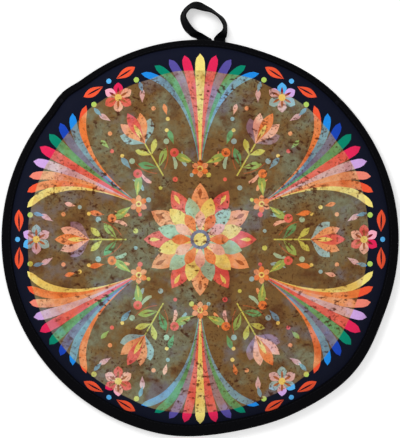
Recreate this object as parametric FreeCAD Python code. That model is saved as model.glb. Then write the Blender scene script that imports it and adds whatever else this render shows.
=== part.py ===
import FreeCAD, Part
import math
import os

# A round quilted cloth pouch that keeps flatbread warm, lying on its back.
# Two padded discs, each a printed cover, a wadding and a lining, are sewn together round the
# sides and the bottom inside a folded binding tape. Above a straight line near the top they stay
# apart and have a binding each: that is the mouth, and the front disc's part above the line is a
# lip that lifts. A loop of the same tape is sewn into the back disc's top edge.
#
# Millimetres. Z is up, +Y points to the mouth and the loop, and the origin is the middle of the
# flat underside. "Inset" is a distance inwards from the pouch's outer edge.

V = FreeCAD.Vector

# Driving dimensions: the outline
pouch_diameter = 305.0
step_between_knots = 12.0          # degrees of rim that one arc of the outline spans
lower_right_bulge = 3.6            # the rim stands out here, by hand sewing
lower_right_angle = 319.0
lower_right_half_width = 21.0
bottom_flat = -2.6                 # and is drawn in here
bottom_flat_angle = 281.0
bottom_flat_half_width = 24.0
upper_right_flat = -1.2
upper_right_flat_angle = 72.0
upper_right_flat_half_width = 20.0
mouth_end_bump = 2.0               # where the bindings overlap at the mouth's left end
mouth_end_bump_angle = 133.5
mouth_end_bump_half_width = 7.5

# Driving dimensions: the quilted discs
cover_thickness = 0.6
lining_thickness = 0.5
wadding_thickness = 4.9            # in the middle of a disc
seam_wadding = 2.25                # as pressed inside the seam
mouth_wadding = 1.2                # as pressed inside a mouth binding
puff_run = 14.0                    # from the binding to the disc's full thickness
crown_run = 100.0                  # from the binding to the pocket's full height
pocket_height = 6.6
underside_run = 4.0                # from the binding down to the flat underside

# Driving dimensions: the bindings
binding_tape = 0.8
binding_nose = 1.2                 # tape and turn outside the discs' cut edges
binding_rounding = 2.0             # inset where the rounded outer edge begins
binding_width_top = 5.2
binding_width_bottom = 9.6
mouth_half_angle = 43.0            # from the top of the rim to each end of the mouth
mouth_clearance = 0.6              # between the two mouth bindings at the ends of the mouth
mouth_gape = 7.0                   # how much further apart they are at the top of the rim
gape_half_angle = 38.0
lining_gap = 0.1                   # between the two linings in the seam
seam_blend = 14.0                  # degrees over which the seam presses down to its thickness
hinge_gap = 0.4                    # between the lip and the rest of the front disc
hinge_clearance = 0.3              # of the lip's hinge line above the cloth

# Driving dimensions: the loop
loop_tape_width = 9.0
loop_tape_thickness = 1.2
loop_left_end = 2.6                # middles of its two ends, to the right of the pouch's middle
loop_right_end = 15.0
loop_left_slant = 38.0             # degrees that the left end runs away from straight out
loop_tab_depth = 4.6               # how far the sewn ends run in under the back mouth binding
loop_root_stand = 1.2              # and how far they stand out of it
loop_root_clearance = 0.15         # between them and the loop's round ends
loop_off_table = 0.15

# Driving dimensions: threads
thread = 0.5
stitch_inset_from_edge = 1.4       # from the binding's inner edge to its stitch line
bar_tack_length = 2.4
bar_tack_margin = 1.0              # between a bar tack and the binding's inner edge
bar_tack_stand = 0.7

# Derived sizes
pouch_radius = pouch_diameter / 2
mouth_line = pouch_radius * math.cos(math.radians(mouth_half_angle))
disc_thickness = cover_thickness + wadding_thickness + lining_thickness
pocket_roof = disc_thickness + pocket_height
pouch_height = pocket_roof + disc_thickness
sink = 0.2                         # depth that a thread starts below a surface, then cut away


def smooth(t):
    t = min(max(t, 0.0), 1.0)
    return t * t * (3 - 2 * t)


def round_rise(t):
    """Rises from 0 to 1, steep at first, as cloth puffs out of a seam."""
    t = min(max(t, 0.0), 1.0)
    return 1 - (1 - t) ** 3


def dome(t):
    """Rises from 0 to 1 and ends level."""
    t = min(max(t, 0.0), 1.0)
    return t * (2 - t)


def swell(angle, middle, half_width, height):
    away = abs((angle - middle + 180) % 360 - 180)
    if away >= half_width:
        return 0.0
    return height * 0.5 * (1 + math.cos(math.pi * away / half_width))


def outline(angle):
    """The outer edge's distance from the middle, at an angle in degrees from +X."""
    return (
        pouch_radius
        + swell(angle, lower_right_angle, lower_right_half_width, lower_right_bulge)
        + swell(angle, bottom_flat_angle, bottom_flat_half_width, bottom_flat)
        + swell(angle, upper_right_flat_angle, upper_right_flat_half_width, upper_right_flat)
        + swell(angle, mouth_end_bump_angle, mouth_end_bump_half_width, mouth_end_bump)
    )


def from_top(angle):
    """Degrees of rim between an angle and the top."""
    return abs((angle - 90 + 180) % 360 - 180)


def binding_width(angle):
    share = 0.5 * (1 + math.sin(math.radians(angle)))
    return binding_width_bottom + (binding_width_top - binding_width_bottom) * share


def in_seam(angle):
    """0 over the mouth, 1 where the seam has pressed both discs to its thickness."""
    return smooth((from_top(angle) - mouth_half_angle - 3.0) / seam_blend)


def gape(angle):
    """How far the front disc's mouth edge stands up from its resting place."""
    away = from_top(angle)
    if away >= gape_half_angle:
        return 0.0
    return mouth_gape * math.cos(0.5 * math.pi * away / gape_half_angle) ** 2


def edge_thickness(angle):
    wadding = mouth_wadding + (seam_wadding - mouth_wadding) * in_seam(angle)
    return cover_thickness + wadding + lining_thickness


def puffed(angle, inset):
    """A disc's thickness, from pressed at the binding to full."""
    edge = edge_thickness(angle)
    return edge + (disc_thickness - edge) * round_rise((inset - binding_width(angle)) / puff_run)


# Heights of the layers' faces at an angle and an inset
def back_bottom(angle, inset):
    return binding_tape * (1 - smooth((inset - binding_width(angle)) / underside_run))


def back_wadding_bottom(angle, inset):
    return back_bottom(angle, inset) + cover_thickness


def back_top(angle, inset):
    edge_top = binding_tape + edge_thickness(angle)
    rise = round_rise((inset - binding_width(angle)) / puff_run)
    return edge_top + (disc_thickness - edge_top) * rise


def back_wadding_top(angle, inset):
    return back_top(angle, inset) - lining_thickness


def front_edge_bottom(angle):
    seam = back_top(angle, 0) + lining_gap
    mouth = back_top(angle, 0) + 2 * binding_tape + mouth_clearance + gape(angle)
    return mouth + (seam - mouth) * in_seam(angle)


def front_bottom(angle, inset):
    """Follows the back disc's swell where it starts lower than that, and then the crown."""
    edge = front_edge_bottom(angle)
    beyond = inset - binding_width(angle)
    swell_top = max(disc_thickness + lining_gap, edge)
    over_back = (swell_top - edge) * round_rise(beyond / puff_run)
    return edge + over_back + (pocket_roof - swell_top) * dome(beyond / crown_run)


def front_wadding_bottom(angle, inset):
    return front_bottom(angle, inset) + lining_thickness


def front_top(angle, inset):
    return front_bottom(angle, inset) + puffed(angle, inset)


def front_wadding_top(angle, inset):
    return front_top(angle, inset) - cover_thickness


def knot_angles():
    """Where the outline's arcs meet: evenly, with a closer pair beside the mouth's left end."""
    steps = round(360 / step_between_knots)
    even = [360.0 * k / steps for k in range(steps)]
    bump = [mouth_end_bump_angle + side * mouth_end_bump_half_width for side in (-1, 0, 1)]
    spare = [a for a in even if all(abs(a - b) > 0.4 * step_between_knots for b in bump)]
    return sorted(spare + bump)


KNOTS = knot_angles()


LOFT_DEGREE = 3     # a higher one ripples between the rings


def ring(inset, height):
    """A closed wire of arcs. Inset is a number or a function of the angle, height of angle and inset."""
    def point(angle):
        u = inset(angle) if callable(inset) else inset
        reach = outline(angle) * (1 - u / pouch_radius)
        turn = math.radians(angle)
        return V(reach * math.cos(turn), reach * math.sin(turn), height(angle, u))

    edges = []
    for first, second in zip(KNOTS, KNOTS[1:] + [KNOTS[0] + 360.0]):
        arc = Part.Arc(point(first), point((first + second) / 2), point(second))
        edges.append(arc.toShape())
    return Part.Wire(edges)


def beyond_binding(distance):
    return lambda angle: binding_width(angle) + distance


def level(z):
    return lambda angle, inset: z


def band(first, second):
    """The straight-sided faces between two rings."""
    return Part.makeLoft([first, second], False, True).Faces


def closed_solid(faces):
    shell = Part.makeShell(faces)
    shell.sewShape()
    solid = Part.makeSolid(shell)
    if solid.Volume < 0:
        solid.reverse()
    return solid


class Interface:
    """One face of a disc's layer: flat in the binding, curved beyond it, flat in the middle."""

    def __init__(self, height, runs, reach):
        self.edge = ring(binding_nose, height)
        curved = [ring(beyond_binding(reach * t), height) for t in runs]
        swept = Part.makeLoft(curved, False, False, False, LOFT_DEGREE).Faces
        self.faces = band(self.edge, curved[0]) + swept + [Part.Face(curved[-1])]


def layer(lower, upper):
    return closed_solid(lower.faces + upper.faces + band(lower.edge, upper.edge))


def stations(count):
    """Shares of a run where its rings stand: closest where the cloth curves most."""
    return [(k / count) ** 2 for k in range(count + 1)]


def disc_layers(heights, runs, reaches, names):
    faces = [Interface(h, r, d) for h, r, d in zip(heights, runs, reaches)]
    return {name: layer(faces[k], faces[k + 1]) for k, name in enumerate(names)}


def back_disc():
    return disc_layers(
        (back_bottom, back_wadding_bottom, back_wadding_top, back_top),
        (stations(4), stations(4), stations(6), stations(6)),
        (underside_run, underside_run, puff_run, puff_run),
        ("back_cover", "back_wadding", "back_lining"),
    )


def front_disc():
    return disc_layers(
        (front_bottom, front_wadding_bottom, front_wadding_top, front_top),
        (stations(10),) * 4,
        (crown_run,) * 4,
        ("front_lining", "front_wadding", "front_cover"),
    )


def binding(lowest, cavity_bottom, cavity_top, highest):
    """A tape folded round a disc's edge, or round both. Each argument is a height by angle."""
    def at(level_by_angle):
        return lambda angle, inset: level_by_angle(angle)

    def part_way(share):
        return lambda angle, inset: lowest(angle) + share * (highest(angle) - lowest(angle))

    corner = 0.29 * binding_rounding       # a round corner's point at 45 degrees
    rings = [
        ring(binding_width, at(lowest)),
        ring(binding_rounding, at(lowest)),
        ring(corner, lambda angle, inset: lowest(angle) + corner),
        ring(0.0, part_way(0.35)),
        ring(0.0, part_way(0.65)),
        ring(corner, lambda angle, inset: highest(angle) - corner),
        ring(binding_rounding, at(highest)),
        ring(binding_width, at(highest)),
        ring(binding_width, at(cavity_top)),
        ring(binding_nose, at(cavity_top)),
        ring(binding_nose, at(cavity_bottom)),
        ring(binding_width, at(cavity_bottom)),
    ]
    faces = []
    for k, first in enumerate(rings):
        faces += band(first, rings[(k + 1) % len(rings)])
    return closed_solid(faces)


def back_edge_top(angle):
    return binding_tape + edge_thickness(angle)


def front_edge_top(angle):
    return front_edge_bottom(angle) + edge_thickness(angle)


def thread_line(surface):
    """A row of stitches on a binding's upper face, as one low bead, sunk a little into it."""
    def inner(angle):
        return binding_width(angle) - stitch_inset_from_edge + thread / 2

    def outer(angle):
        return binding_width(angle) - stitch_inset_from_edge - thread / 2

    def below(angle, inset):
        return surface(angle) - sink

    def above(angle, inset):
        return surface(angle) + thread / 2

    rings = [ring(inner, below), ring(inner, above), ring(outer, above), ring(outer, below)]
    faces = []
    for k, first in enumerate(rings):
        faces += band(first, rings[(k + 1) % len(rings)])
    return closed_solid(faces)


def side_of_mouth_line(shape, above, gap=0.0):
    """The part of a shape above or below the mouth's straight line, seen from the front."""
    size = 2 * pouch_diameter
    near = mouth_line + gap if above else mouth_line - gap - size
    half = Part.makeBox(size, size, size, V(-size / 2, near, -size / 2))
    return shape.common(half)


def solid_of(shape):
    solids = shape.Solids
    return solids[0] if len(solids) == 1 else Part.makeCompound(solids)


# The loop as it lies: how far its middle is to the right of its left end and out from its hinge
# line, the direction across the tape from the outer edge to the inner one, and how steeply the
# inner edge stands up, in millimetres and degrees. The first and last rows are its two ends.
LOOP_COURSE = (
    (0.0, 0.0, 0.0, 0.0),
    (-4.1, 2.1, 14.0, 8.0),
    (-7.6, 3.9, 14.0, 38.0),
    (-11.0, 6.8, 17.0, 46.0),
    (-13.5, 10.4, 21.0, 52.0),
    (-15.2, 14.3, 17.0, 59.0),
    (-15.5, 17.4, 0.0, 64.0),
    (-14.0, 20.6, -25.0, 66.0),
    (-11.0, 23.8, -62.0, 66.0),
    (-7.3, 25.2, -84.0, 52.0),
    (-3.3, 24.8, -96.0, 46.0),
    (1.1, 23.0, -106.0, 56.0),
    (5.7, 21.2, -114.0, 69.0),
    (10.1, 18.3, -136.0, 76.0),
    (13.7, 15.2, -144.0, 71.0),
    (16.0, 11.4, -157.0, 70.0),
    (16.6, 8.2, -176.0, 73.0),
    (16.2, 5.4, -184.0, 66.0),
    (14.4, 2.6, -186.0, 40.0),
    (12.4, 0.0, -180.0, 0.0),
)


def loop_root_height():
    """The middle of the tape's ends: just above the back cover's edge."""
    return binding_tape + cover_thickness + loop_tape_thickness / 2


def loop_ends_reach():
    """How far the sewn ends reach from the pouch's middle."""
    return outline(90.0) + loop_root_stand


def loop_hinge_line():
    return loop_ends_reach() + loop_root_clearance + loop_tape_thickness / 2


def end_width(slant):
    return loop_tape_width / math.cos(math.radians(slant))


def between_rows(place):
    """A row of the table at a place that may lie between two rows, along a smooth curve."""
    last = len(LOOP_COURSE) - 1
    k = min(int(place), last - 1)
    t = place - k
    rows = [LOOP_COURSE[min(max(j, 0), last)] for j in (k - 1, k, k + 1, k + 2)]
    return [
        0.5 * (2 * b + (c - a) * t + (2 * a - 5 * b + 4 * c - d) * t ** 2
               + (3 * b - a - 3 * c + d) * t ** 3)
        for a, b, c, d in zip(*rows)
    ]


def tape_section(place):
    """The tape's outline across its course at a place in the table."""
    last = len(LOOP_COURSE) - 1
    right, out, turn, steep = between_rows(place)
    x = loop_left_end + right * (loop_right_end - loop_left_end) / LOOP_COURSE[last][0]
    rest = loop_off_table + loop_tape_thickness / 2
    lean = math.radians(max(steep, 0.0))
    z = rest + loop_tape_width / 2 * math.sin(lean)
    sewn = max(1 - place, place - last + 1, 0.0)       # 1 at either end
    z = max(z, loop_root_height() * sewn + rest * (1 - sewn))
    middle = V(x, loop_hinge_line() + out, z)
    slant = loop_left_slant * max(1 - place, 0.0)
    before, after = between_rows(max(place - 0.5, 0)), between_rows(min(place + 0.5, last))
    along = V(after[0] - before[0], after[1] - before[1], 0)
    if place in (0, last):
        along = V(0, 1 if place == 0 else -1, 0)
    plan = math.radians(turn)
    across = V(math.cos(lean) * math.cos(plan), math.cos(lean) * math.sin(plan), math.sin(lean))
    through = along.cross(across)
    through.normalize()
    a = across * (end_width(slant) / 2)
    t = through * (loop_tape_thickness / 2)
    corners = [middle - a - t, middle + a - t, middle + a + t, middle - a + t]
    return Part.makePolygon(corners + corners[:1])


def hanging_loop():
    """The tape's loop, with round ends that turn on its hinge line."""
    sections = [tape_section(k / 3) for k in range(3 * len(LOOP_COURSE) - 2)]
    loop = Part.makeLoft(sections, True, True)
    widths = (end_width(loop_left_slant), loop_tape_width)
    for middle, width in zip((loop_left_end, loop_right_end), widths):
        start = V(middle - width / 2, loop_hinge_line(), loop_root_height())
        loop = loop.fuse(Part.makeCylinder(loop_tape_thickness / 2, width, start, V(1, 0, 0)))
    return loop


def loop_ends():
    """The loop's two sewn ends, in under the back mouth binding."""
    depth = loop_tab_depth + loop_root_stand
    bottom = loop_root_height() - loop_tape_thickness / 2
    tabs = []
    for middle, slant in ((loop_left_end, loop_left_slant), (loop_right_end, 0.0)):
        half = end_width(slant) / 2
        shift = depth * math.tan(math.radians(slant))
        near, far = loop_ends_reach() - depth, loop_ends_reach()
        corners = [
            V(middle - half + shift, near, bottom),
            V(middle + half + shift, near, bottom),
            V(middle + half, far, bottom),
            V(middle - half, far, bottom),
        ]
        face = Part.Face(Part.makePolygon(corners + corners[:1]))
        tabs.append(face.extrude(V(0, 0, loop_tape_thickness)))
    return tabs


def bar_tacks(seam_binding):
    """Dense stitches over the seam binding's two ends, where the mouth begins."""
    tacks = []
    for side in (-1, 1):
        angle = 90.0 + side * (mouth_half_angle + 2.0)
        top = front_edge_top(angle) + binding_tape
        length = binding_width(angle) - binding_rounding - bar_tack_margin
        reach = outline(angle) - binding_rounding - length
        size = (length, bar_tack_length, sink + bar_tack_stand)
        tack = Part.makeBox(*size, V(reach, -bar_tack_length / 2, top - sink))
        tack.rotate(V(0, 0, 0), V(0, 0, 1), angle)
        below = side_of_mouth_line(tack, above=False, gap=hinge_gap / 2)
        tacks.append(below.cut(seam_binding))
    return tacks


def build():
    """Every piece by name."""
    pieces = back_disc()
    whole_front = front_disc()
    for name, shape in whole_front.items():
        pieces[name] = side_of_mouth_line(shape, above=False, gap=hinge_gap / 2)
        lip_name = name.replace("front_", "lip_")
        pieces[lip_name] = side_of_mouth_line(shape, above=True, gap=hinge_gap / 2)

    def floor(angle):
        return 0.0

    def back_edge_bottom(angle):
        return binding_tape

    def seam_top(angle):
        return front_edge_top(angle) + binding_tape

    def back_mouth_top(angle):
        return back_edge_top(angle) + binding_tape

    def front_mouth_bottom(angle):
        return front_edge_bottom(angle) - binding_tape

    seam = binding(floor, back_edge_bottom, front_edge_top, seam_top)
    back_mouth = binding(floor, back_edge_bottom, back_edge_top, back_mouth_top)
    front_mouth = binding(front_mouth_bottom, front_edge_bottom, front_edge_top, seam_top)
    pieces["seam_binding"] = side_of_mouth_line(seam, above=False)
    pieces["back_mouth_binding"] = side_of_mouth_line(back_mouth, above=True)
    pieces["front_mouth_binding"] = side_of_mouth_line(front_mouth, above=True, gap=hinge_gap / 2)

    tabs = loop_ends()
    for tab in tabs:
        pieces["back_mouth_binding"] = pieces["back_mouth_binding"].cut(tab)
        pieces["back_wadding"] = pieces["back_wadding"].cut(tab)
        pieces["back_lining"] = pieces["back_lining"].cut(tab)
    pieces["loop_ends"] = Part.makeCompound(tabs)
    pieces["hanging_loop"] = hanging_loop()

    seam_thread = side_of_mouth_line(thread_line(seam_top), above=False)
    back_thread = side_of_mouth_line(thread_line(back_mouth_top), above=True)
    front_thread = side_of_mouth_line(thread_line(seam_top), above=True, gap=hinge_gap / 2)
    pieces["mouth_bar_tacks"] = Part.makeCompound(bar_tacks(pieces["seam_binding"]))
    seam_thread = seam_thread.cut(pieces["mouth_bar_tacks"])
    pieces["seam_stitching"] = seam_thread.cut(pieces["seam_binding"])
    pieces["back_mouth_stitching"] = back_thread.cut(pieces["back_mouth_binding"])
    pieces["front_mouth_stitching"] = front_thread.cut(pieces["front_mouth_binding"])
    return pieces


def main():
    os.makedirs("parts", exist_ok=True)
    for name, shape in build().items():
        piece = solid_of(shape)
        piece.exportStep("parts/" + name + ".step")
        valid = all(solid.isValid() for solid in piece.Solids)
        print(f"{name}: {len(piece.Solids)} solid, {piece.Volume / 1000:.2f} cm3, valid {valid}")
    hinge_height = max(front_top(90.0, pouch_radius - mouth_line), pouch_height) + hinge_clearance
    print(f"lip hinge: y {mouth_line:.2f}, z {hinge_height:.2f}")
    print(f"loop hinge: y {loop_hinge_line():.2f}, z {loop_root_height():.2f}")


main()
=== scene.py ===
import math
import random

import bpy
import numpy as np
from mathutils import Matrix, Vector, noise
from mathutils.geometry import delaunay_2d_cdt
from mathutils.kdtree import KDTree


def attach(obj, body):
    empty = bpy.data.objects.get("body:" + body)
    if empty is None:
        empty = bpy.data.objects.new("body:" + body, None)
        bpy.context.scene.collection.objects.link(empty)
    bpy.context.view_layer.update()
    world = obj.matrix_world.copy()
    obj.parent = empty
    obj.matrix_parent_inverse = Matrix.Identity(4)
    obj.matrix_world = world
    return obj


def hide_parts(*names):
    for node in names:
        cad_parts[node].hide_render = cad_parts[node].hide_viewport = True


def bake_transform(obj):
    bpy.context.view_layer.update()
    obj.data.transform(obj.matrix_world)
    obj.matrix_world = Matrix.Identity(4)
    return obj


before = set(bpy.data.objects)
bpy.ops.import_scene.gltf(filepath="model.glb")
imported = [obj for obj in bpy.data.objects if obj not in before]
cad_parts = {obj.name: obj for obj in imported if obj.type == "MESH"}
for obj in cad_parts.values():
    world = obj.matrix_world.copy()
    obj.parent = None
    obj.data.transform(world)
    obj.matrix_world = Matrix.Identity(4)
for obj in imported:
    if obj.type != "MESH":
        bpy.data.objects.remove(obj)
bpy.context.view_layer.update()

MM = 0.001

# The pouch's sizes, in millimetres, as its solids have them
POUCH_RADIUS = 152.5
COVER, LINING, WADDING = 0.6, 0.5, 4.9
SEAM_WADDING, MOUTH_WADDING = 2.25, 1.2  # pressed flat under the bindings
PUFF_RUN, CROWN_RUN, POCKET_HEIGHT, UNDERSIDE_RUN = 14.0, 100.0, 6.6, 4.0
TAPE = 0.8  # thickness of the binding tape
NOSE = 1.2  # how far inside the outline the cloths' cut edges lie
ROUNDING = 2.0  # how far in the tape's fold is round
WIDTH_TOP, WIDTH_BOTTOM = 5.2, 9.6  # of the bindings
MOUTH_HALF_ANGLE, MOUTH_CLEARANCE, MOUTH_GAPE, GAPE_HALF_ANGLE = 43.0, 0.6, 7.0, 38.0
LINING_GAP = 0.1
SEAM_START, SEAM_BLEND = 3.0, 14.0  # degrees beyond the mouth's ends, and to the full seam
STITCH_INSET = 1.4  # from a binding's inner edge
LOOP_WIDTH, LOOP_THICKNESS = 9.0, 1.2
DISC = COVER + WADDING + LINING
ROOF = DISC + POCKET_HEIGHT

# Where the outline departs from a circle: middle and half width in degrees, height in millimetres
OUTLINE_SWELLS = ((319.0, 21.0, 3.6), (281.0, 24.0, -2.6), (72.0, 20.0, -1.2), (133.5, 7.5, 2.0))


# The same shapes as the solids', for arrays of angles in degrees and insets in millimetres
def smooth(t):
    t = np.clip(t, 0.0, 1.0)
    return t * t * (3 - 2 * t)


def round_rise(t):
    return 1 - (1 - np.clip(t, 0.0, 1.0)) ** 3


def dome(t):
    t = np.clip(t, 0.0, 1.0)
    return t * (2 - t)


def swell(angle, middle, half_width, height):
    away = np.abs((angle - middle + 180) % 360 - 180)
    return np.where(away < half_width, height * 0.5 * (1 + np.cos(np.pi * away / half_width)), 0.0)


def outline(angle):
    reach = POUCH_RADIUS
    for middle, half_width, height in OUTLINE_SWELLS:
        reach = reach + swell(angle, middle, half_width, height)
    return reach


def from_top(angle):
    return np.abs((angle - 90 + 180) % 360 - 180)


def binding_width(angle):
    return WIDTH_BOTTOM + (WIDTH_TOP - WIDTH_BOTTOM) * 0.5 * (1 + np.sin(np.radians(angle)))


def in_seam(angle):
    return smooth((from_top(angle) - MOUTH_HALF_ANGLE - SEAM_START) / SEAM_BLEND)


def gape(angle):
    away = np.minimum(from_top(angle), GAPE_HALF_ANGLE)
    return MOUTH_GAPE * np.cos(0.5 * np.pi * away / GAPE_HALF_ANGLE) ** 2


def edge_thickness(angle):
    return COVER + LINING + MOUTH_WADDING + (SEAM_WADDING - MOUTH_WADDING) * in_seam(angle)


def back_bottom(angle, inset):
    return TAPE * (1 - smooth((inset - binding_width(angle)) / UNDERSIDE_RUN))


def back_top(angle, inset):
    edge = TAPE + edge_thickness(angle)
    return edge + (DISC - edge) * round_rise((inset - binding_width(angle)) / PUFF_RUN)


def front_edge_bottom(angle):
    back = TAPE + edge_thickness(angle)
    mouth_lift = 2 * TAPE + MOUTH_CLEARANCE + gape(angle)
    return back + mouth_lift + (LINING_GAP - mouth_lift) * in_seam(angle)


def front_bottom(angle, inset):
    edge = front_edge_bottom(angle)
    beyond = inset - binding_width(angle)
    top = np.maximum(DISC + LINING_GAP, edge)
    rise = (top - edge) * round_rise(beyond / PUFF_RUN)
    return edge + rise + (ROOF - top) * dome(beyond / CROWN_RUN)


def front_top(angle, inset):
    edge = edge_thickness(angle)
    puff = round_rise((inset - binding_width(angle)) / PUFF_RUN)
    return front_bottom(angle, inset) + edge + (DISC - edge) * puff


def polar(x, y):
    """Angle and inset of points in the plan."""
    angle = np.degrees(np.arctan2(y, x)) % 360
    return angle, POUCH_RADIUS * (1 - np.hypot(x, y) / outline(angle))


def plan_of(angle, inset):
    reach = outline(angle) * (1 - inset / POUCH_RADIUS)
    return reach * np.cos(np.radians(angle)), reach * np.sin(np.radians(angle))


def spot(angle, inset):
    """One point of the plan."""
    x, y = plan_of(np.array([angle]), np.array([inset]))
    return float(x[0]), float(y[0])


# How cloth departs from those even shapes, in millimetres
PUCKER_START, PUCKER_FADE = 2.5, 9.0  # inwards from the binding
FRONT_PUCKERS, LINING_PUCKERS = 0.35, 0.15
FRONT_SETTLED, BACK_SETTLED = 0.7, 0.5  # shares of the settled folds that each cover shows
BACK_HOLLOW, HOLLOW_START, HOLLOW_FADE = 0.35, 4, 12
PUCKER_MOST = 1.7  # the waves of the puckers together
FRONT_SINK, LINING_SINK = 0.4, 0.1  # keeps the cloths about level with the solids
WRINKLE_RUN, SETTLED_RUN = 16, 7  # over which they grow from the binding inwards
BROAD_FOLD, MIDDLING_FOLD = 34.0, 15.0  # sizes of the unevenness


def fold_noise(x, y, size, seed):
    return np.array([noise.noise(Vector((a / size, b / size, seed))) for a, b in zip(x, y)])


def puckers(angle, inset):
    """Small folds that run in from a seam and die away."""
    beyond = inset - binding_width(angle)
    run = np.radians(angle) * POUCH_RADIUS
    wave = (
        0.5 * np.sin(run / 1.9 + 1.3 * np.sin(run / 11))
        + 0.7 * np.sin(run / 3.3 + 1.7 * np.sin(run / 17 + 1))
        + 0.5 * np.sin(run / 6.1 + 2)
    )
    near = np.clip(beyond / PUCKER_START, 0, 1) * np.exp(-np.clip(beyond, 0, None) / PUCKER_FADE)
    return wave * near


def wrinkles(x, y, seed):
    """Broad soft unevenness all over."""
    angle, inset = polar(x, y)
    beyond = np.clip((inset - binding_width(angle)) / WRINKLE_RUN, 0, 1)
    broad = fold_noise(x, y, BROAD_FOLD, seed)
    middling = fold_noise(x + 4 * broad, y * 1.25, MIDDLING_FOLD, seed + 5)
    return (0.6 * broad + 0.2 * middling) * beyond


# How a cover settles when it is sewn down with some cloth to spare, on a soft wadding
SETTLE_STEP, SETTLE_COUNT = 3.2, 96  # the grid's spacing in millimetres, and points each way
SETTLE_SCALE = 0.01  # scene units for each millimetre while it settles
SETTLE_FRAMES = 24
SETTLE_SEED = 3.0
START_HEIGHT, START_SIZE = 0.15, 9.0  # the unevenness that it starts with
SPARE_CLOTH = 0.012  # share by which the cloth is larger than its place
WADDING_HOLD = 0.15  # how firmly the wadding holds the cloth, of 1
BEND_STIFFNESS = 2.0
MOST_SETTLED = 1.7  # no point moves further than this, in millimetres


def settled_cover(surface, seed):
    """How far each grid point of a cover rises or sinks, from a cloth simulation."""
    axis = (np.arange(SETTLE_COUNT) - (SETTLE_COUNT - 1) / 2) * SETTLE_STEP
    x, y = (grid.ravel() for grid in np.meshgrid(axis, axis))
    angle, inset = polar(x, y)
    place = surface(angle, np.maximum(inset, 0.0))
    begun = place + START_HEIGHT * fold_noise(x, y, START_SIZE, seed)
    near = inset > -2 * SETTLE_STEP
    rows = range(SETTLE_COUNT - 1)
    corners = np.array((0, 1, SETTLE_COUNT + 1, SETTLE_COUNT))
    quads = [(corners + r * SETTLE_COUNT + c).tolist() for r in rows for c in rows]
    mesh = bpy.data.meshes.new("settling")
    mesh.from_pydata(np.column_stack((x, y, begun)) * SETTLE_SCALE, [],
                     [q for q in quads if all(near[i] for i in q)])
    cloth = bpy.data.objects.new("settling", mesh)
    bpy.context.collection.objects.link(cloth)
    hold = cloth.vertex_groups.new(name="hold")
    sewn = inset < binding_width(angle)
    for index in range(len(x)):
        hold.add([index], 1.0 if sewn[index] else WADDING_HOLD, "REPLACE")
    modifier = cloth.modifiers.new("cloth", "CLOTH")
    settings = modifier.settings
    settings.quality = 6
    settings.mass = 0.3
    settings.tension_stiffness = settings.compression_stiffness = 20
    settings.shear_stiffness = 8
    settings.bending_stiffness = BEND_STIFFNESS
    settings.air_damping = 2.0
    settings.vertex_group_mass = "hold"
    settings.pin_stiffness = 1.0
    settings.shrink_min = -SPARE_CLOTH
    settings.effector_weights.gravity = 0
    modifier.point_cache.frame_end = SETTLE_FRAMES
    for number in range(1, SETTLE_FRAMES + 1):
        bpy.context.scene.frame_set(number)
    settled = cloth.evaluated_get(bpy.context.evaluated_depsgraph_get()).data
    ends = np.empty(3 * len(x), np.float32)
    settled.vertices.foreach_get("co", ends)
    rise = np.where(near, ends.reshape(-1, 3)[:, 2] / SETTLE_SCALE - place, 0.0)
    bpy.context.scene.frame_set(1)
    bpy.data.objects.remove(cloth)
    bpy.data.meshes.remove(mesh)
    rise = (MOST_SETTLED * np.tanh(rise / MOST_SETTLED)).reshape(SETTLE_COUNT, SETTLE_COUNT)
    for turned in (0, 1):  # a little softer, along the rows and the columns
        rise = (np.roll(rise, 1, turned) + 2 * rise + np.roll(rise, -1, turned)) / 4
    return rise


SETTLED = settled_cover(front_top, SETTLE_SEED)


def settled(x, y):
    """The settled cover's rise at points of the plan, none at the binding."""
    angle, inset = polar(x, y)
    across, down = (np.clip(c / SETTLE_STEP + (SETTLE_COUNT - 1) / 2, 0, SETTLE_COUNT - 1.001)
                    for c in (x, y))
    k, j = across.astype(int), down.astype(int)
    s, t = across - k, down - j
    rise = ((SETTLED[j, k] * (1 - s) + SETTLED[j, k + 1] * s) * (1 - t)
            + (SETTLED[j + 1, k] * (1 - s) + SETTLED[j + 1, k + 1] * s) * t)
    return rise * smooth((inset - binding_width(angle)) / SETTLED_RUN)


def front_surface(x, y):
    angle, inset = polar(x, y)
    folds = FRONT_PUCKERS * puckers(angle, inset) + FRONT_SETTLED * settled(x, y)
    return front_top(angle, inset) + folds + wrinkles(x, y, 3.0) - FRONT_SINK


def back_surface(x, y):
    """The underside: it lies flat on the table, with shallow hollows where its cloth has folds."""
    angle, inset = polar(x, y)
    beyond = inset - binding_width(angle)
    fade = np.exp(-np.clip(beyond, 0, None) / HOLLOW_FADE)
    hollow = BACK_HOLLOW * (1 + puckers(angle, inset) / PUCKER_MOST) * fade
    hollow = hollow + BACK_SETTLED * np.maximum(settled(-x, y), 0.0)
    begun = hollow * np.clip(beyond / HOLLOW_START, 0, 1)
    return back_bottom(angle, inset) + np.where(beyond > 0, begun, 0)


# Meshes
def new_piece(name, points, faces, plan, material, colours=None):
    """A mesh from points in millimetres. plan is where each point is on its flat cloth."""
    mesh = bpy.data.meshes.new(name)
    mesh.from_pydata([tuple(c * MM for c in p) for p in points], [], faces)
    mesh.validate()
    flat = mesh.attributes.new("plan", "FLOAT_VECTOR", "POINT")
    flat.data.foreach_set("vector", (np.asarray(plan, np.float32) * MM).ravel())
    if colours is not None:
        layer = mesh.color_attributes.new("print", "FLOAT_COLOR", "CORNER")
        per_corner = np.repeat(np.asarray(colours, np.float32), [len(f) for f in faces], axis=0)
        layer.data.foreach_set("color", per_corner.ravel())
    mesh.update()
    mesh.shade_smooth()
    piece = bpy.data.objects.new(name, mesh)
    bpy.context.collection.objects.link(piece)
    mesh.materials.append(material)
    return piece


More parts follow.
